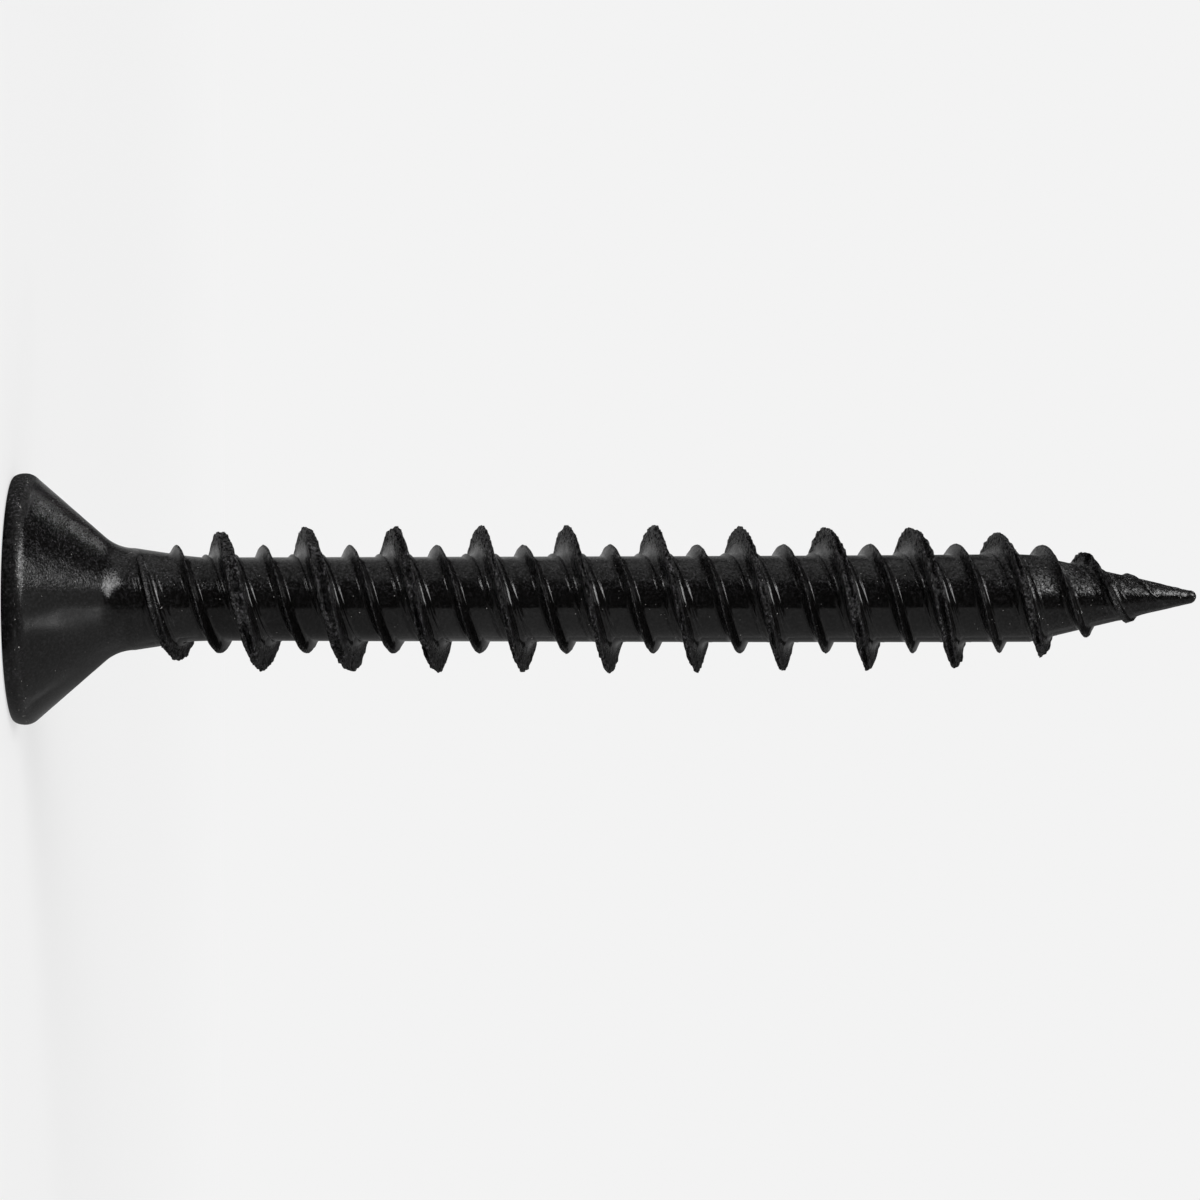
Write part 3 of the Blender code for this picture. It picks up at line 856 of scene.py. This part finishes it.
    # The smooth side of the cone dulls towards the neck
    smudge = rampOf(tree, noiseOf(tree, place, look["smudgeScale"], 3.0), 0.3, 0.7, -0.03, 0.04)
    roughness = rampOf(tree, flank, 0.0, 1.0, look["roughness"], look["wornRoughness"])
    dull = times(
        tree,
        rampOf(tree, height, *look["dullUp"], 0.0, look["neckDullness"]),
        rampOf(tree, height, *look["dullEndUp"], 1.0, 0.0),
        rampOf(tree, across, *look["dullAcross"], 0.0, 1.0),
    )
    roughness = add(tree, roughness, smudge, dull, times(tree, rimWearAndLitSide, 0.6))
    tree.links.new(roughness, shader.inputs["Roughness"])
    print("coat ready")
    return material


screw = makeScrew(blackCoat())
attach(screw, "root")
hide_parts("concrete_screw")

# The studio: a pale floor, a pale surround, and soft cards that the gloss reflects
studio = {
    "pale": (0.896, 0.896, 0.896, 1.0),
    "floorRadius": 6.0,  # metres, as all places of the studio are
    "floorHeight": -0.00002,
    "surround": 0.4,
    "surroundInGloss": 0.02,  # the coat sees the surround and the floor dimmed, as the photograph's does
    "floorInGloss": 0.02,
    "floorBesideInGloss": 0.22,
    "floorBehindInGloss": 0.48,
    "lowerSideTurn": (23.0, 27.0),  # where the floor in the gloss grows brighter, turned as the cards are
    "upperSideTurn": (-50.0, -57.0),
    "behindTurn": (-90.0, -140.0),
    "floorShade": 0.35,  # how much of the floor near the screw takes its shadow
    "shadeReach": (0.02, 0.12),  # from the axis, full at the first and gone at the second
    "aimHeight": 0.02,
    "cardDistance": 0.5,
}
# Each card's direction: its turn from the camera's side, anticlockwise from above, and its climb.
# The flat one lies beside the screw near the floor and faces straight up
cards = {
    "key": {"turn": -37.0, "climb": 44.0, "size": (0.25, 0.38), "brightness": 5.6, "roll": -26.0},
    "overhead": {"turn": -15.0, "climb": 81.0, "size": (0.34, 0.28), "brightness": 0.28},
    "streak": {"turn": 67.0, "climb": 74.0, "size": (0.02, 0.02), "brightness": 54.0},
    "upperSide": {"turn": -85.0, "climb": 10.0, "size": (0.67, 0.42), "brightness": 0.34},
    "upperBack": {"turn": -144.0, "climb": 33.0, "size": (0.12, 0.1), "brightness": 3.6},
    "upperRear": {"turn": -155.0, "climb": 0.0, "size": (0.36, 0.12), "brightness": 0.25},
    "lowerSide": {"turn": 75.0, "climb": 4.0, "size": (1.19, 0.36), "brightness": 0.28},
    "lowerSky": {"turn": 88.0, "climb": 48.0, "size": (0.9, 0.56), "brightness": 0.24},
    "lowerRear": {"turn": 150.0, "climb": 14.0, "size": (0.56, 0.34), "brightness": 0.16},
    "glint": {
        "turn": -28.0, "climb": -42.0, "size": (0.01, 0.01), "brightness": 6.0,
        "distance": 0.0275, "flat": True,
    },
}


def makeCard(name, card):
    width, height = card["size"]
    data = bpy.data.lights.new(name, "AREA")
    data.shape = "RECTANGLE"
    data.size = width
    data.size_y = height
    data.energy = card["brightness"] * math.pi * width * height
    lamp = bpy.data.objects.new(name, data)
    bpy.context.scene.collection.objects.link(lamp)
    lamp.visible_camera = False
    turn, climb = math.radians(card["turn"]), math.radians(card["climb"])
    level = math.cos(climb)
    direction = Vector((math.sin(turn) * level, -math.cos(turn) * level, math.sin(climb)))
    distance = card.get("distance", studio["cardDistance"])
    lamp.location = Vector((0.0, 0.0, studio["aimHeight"])) + direction * distance
    towards = Vector((0.0, 0.0, 1.0)) if card.get("flat") else -direction
    roll = Matrix.Rotation(math.radians(card.get("roll", 0.0)), 3, "Z")
    lamp.rotation_euler = (towards.to_track_quat("-Z", "Y").to_matrix() @ roll).to_euler()


def makeFloor():
    made = bmesh.new()
    bmesh.ops.create_circle(made, cap_ends=True, segments=96, radius=studio["floorRadius"])
    bmesh.ops.translate(made, verts=made.verts, vec=(0.0, 0.0, studio["floorHeight"]))
    floor = finishMesh(made, "floor")
    material = bpy.data.materials.new("paleFloor")
    material.use_nodes = True
    tree = material.node_tree
    tree.nodes.remove(tree.nodes["Principled BSDF"])
    diffuse = tree.nodes.new("ShaderNodeBsdfDiffuse")
    diffuse.inputs["Color"].default_value = studio["pale"]
    glow = tree.nodes.new("ShaderNodeEmission")
    glow.inputs["Color"].default_value = studio["pale"]
    place = tree.nodes.new("ShaderNodeTexCoord").outputs["Object"]
    away = tree.nodes.new("ShaderNodeVectorMath")
    away.operation = "LENGTH"
    tree.links.new(place, away.inputs[0])
    fromScrew = away.outputs["Value"]
    shade = rampOf(tree, fromScrew, *studio["shadeReach"], studio["floorShade"], 0.0, "SMOOTHSTEP")
    path = tree.nodes.new("ShaderNodeLightPath")
    glossy = path.outputs["Is Glossy Ray"]
    split = tree.nodes.new("ShaderNodeSeparateXYZ")
    tree.links.new(place, split.inputs[0])
    # Painted reflection: seen in the gloss, the floor glows dark in a wedge towards the camera, as a black
    # card there would give, and brighter beside and behind
    front = times(tree, split.outputs[1], -1.0)
    turn = times(tree, calc(tree, "ARCTAN2", split.outputs[0], front), 180 / math.pi)
    lowerSide = rampOf(tree, turn, *studio["lowerSideTurn"], 0.0, 1.0)
    upperSide = rampOf(tree, turn, *studio["upperSideTurn"], 0.0, 1.0)
    besideGain = studio["floorBesideInGloss"] - studio["floorInGloss"]
    behindGain = studio["floorBehindInGloss"] - studio["floorBesideInGloss"]
    beside = times(tree, add(tree, lowerSide, upperSide), besideGain)
    behind = rampOf(tree, turn, *studio["behindTurn"], 0.0, behindGain)
    inGloss = add(tree, beside, behind, studio["floorInGloss"])
    tree.links.new(rampOf(tree, glossy, 0.0, 1.0, 1.0, inGloss), glow.inputs["Strength"])
    mixed = tree.nodes.new("ShaderNodeMixShader")
    lit = times(tree, path.outputs["Is Camera Ray"], minus(tree, 1.0, shade))
    tree.links.new(calc(tree, "MAXIMUM", lit, glossy), mixed.inputs[0])
    tree.links.new(diffuse.outputs[0], mixed.inputs[1])
    tree.links.new(glow.outputs[0], mixed.inputs[2])
    tree.links.new(mixed.outputs[0], tree.nodes["Material Output"].inputs["Surface"])
    floor.data.materials.append(material)


def makeSurround():
    world = bpy.data.worlds.new("paleSurround")
    world.use_nodes = True
    tree = world.node_tree
    background = tree.nodes["Background"]
    path = tree.nodes.new("ShaderNodeLightPath")
    glossy = path.outputs["Is Glossy Ray"]
    background.inputs["Color"].default_value = studio["pale"]
    unseen = rampOf(tree, glossy, 0.0, 1.0, studio["surround"], studio["surroundInGloss"])
    strength = rampOf(tree, path.outputs["Is Camera Ray"], 0.0, 1.0, unseen, 1.0)
    tree.links.new(strength, background.inputs["Strength"])
    bpy.context.scene.world = world


makeFloor()
makeSurround()
for name, card in cards.items():
    makeCard(name, card)
bpy.context.scene.view_settings.view_transform = "Standard"
print("studio ready")
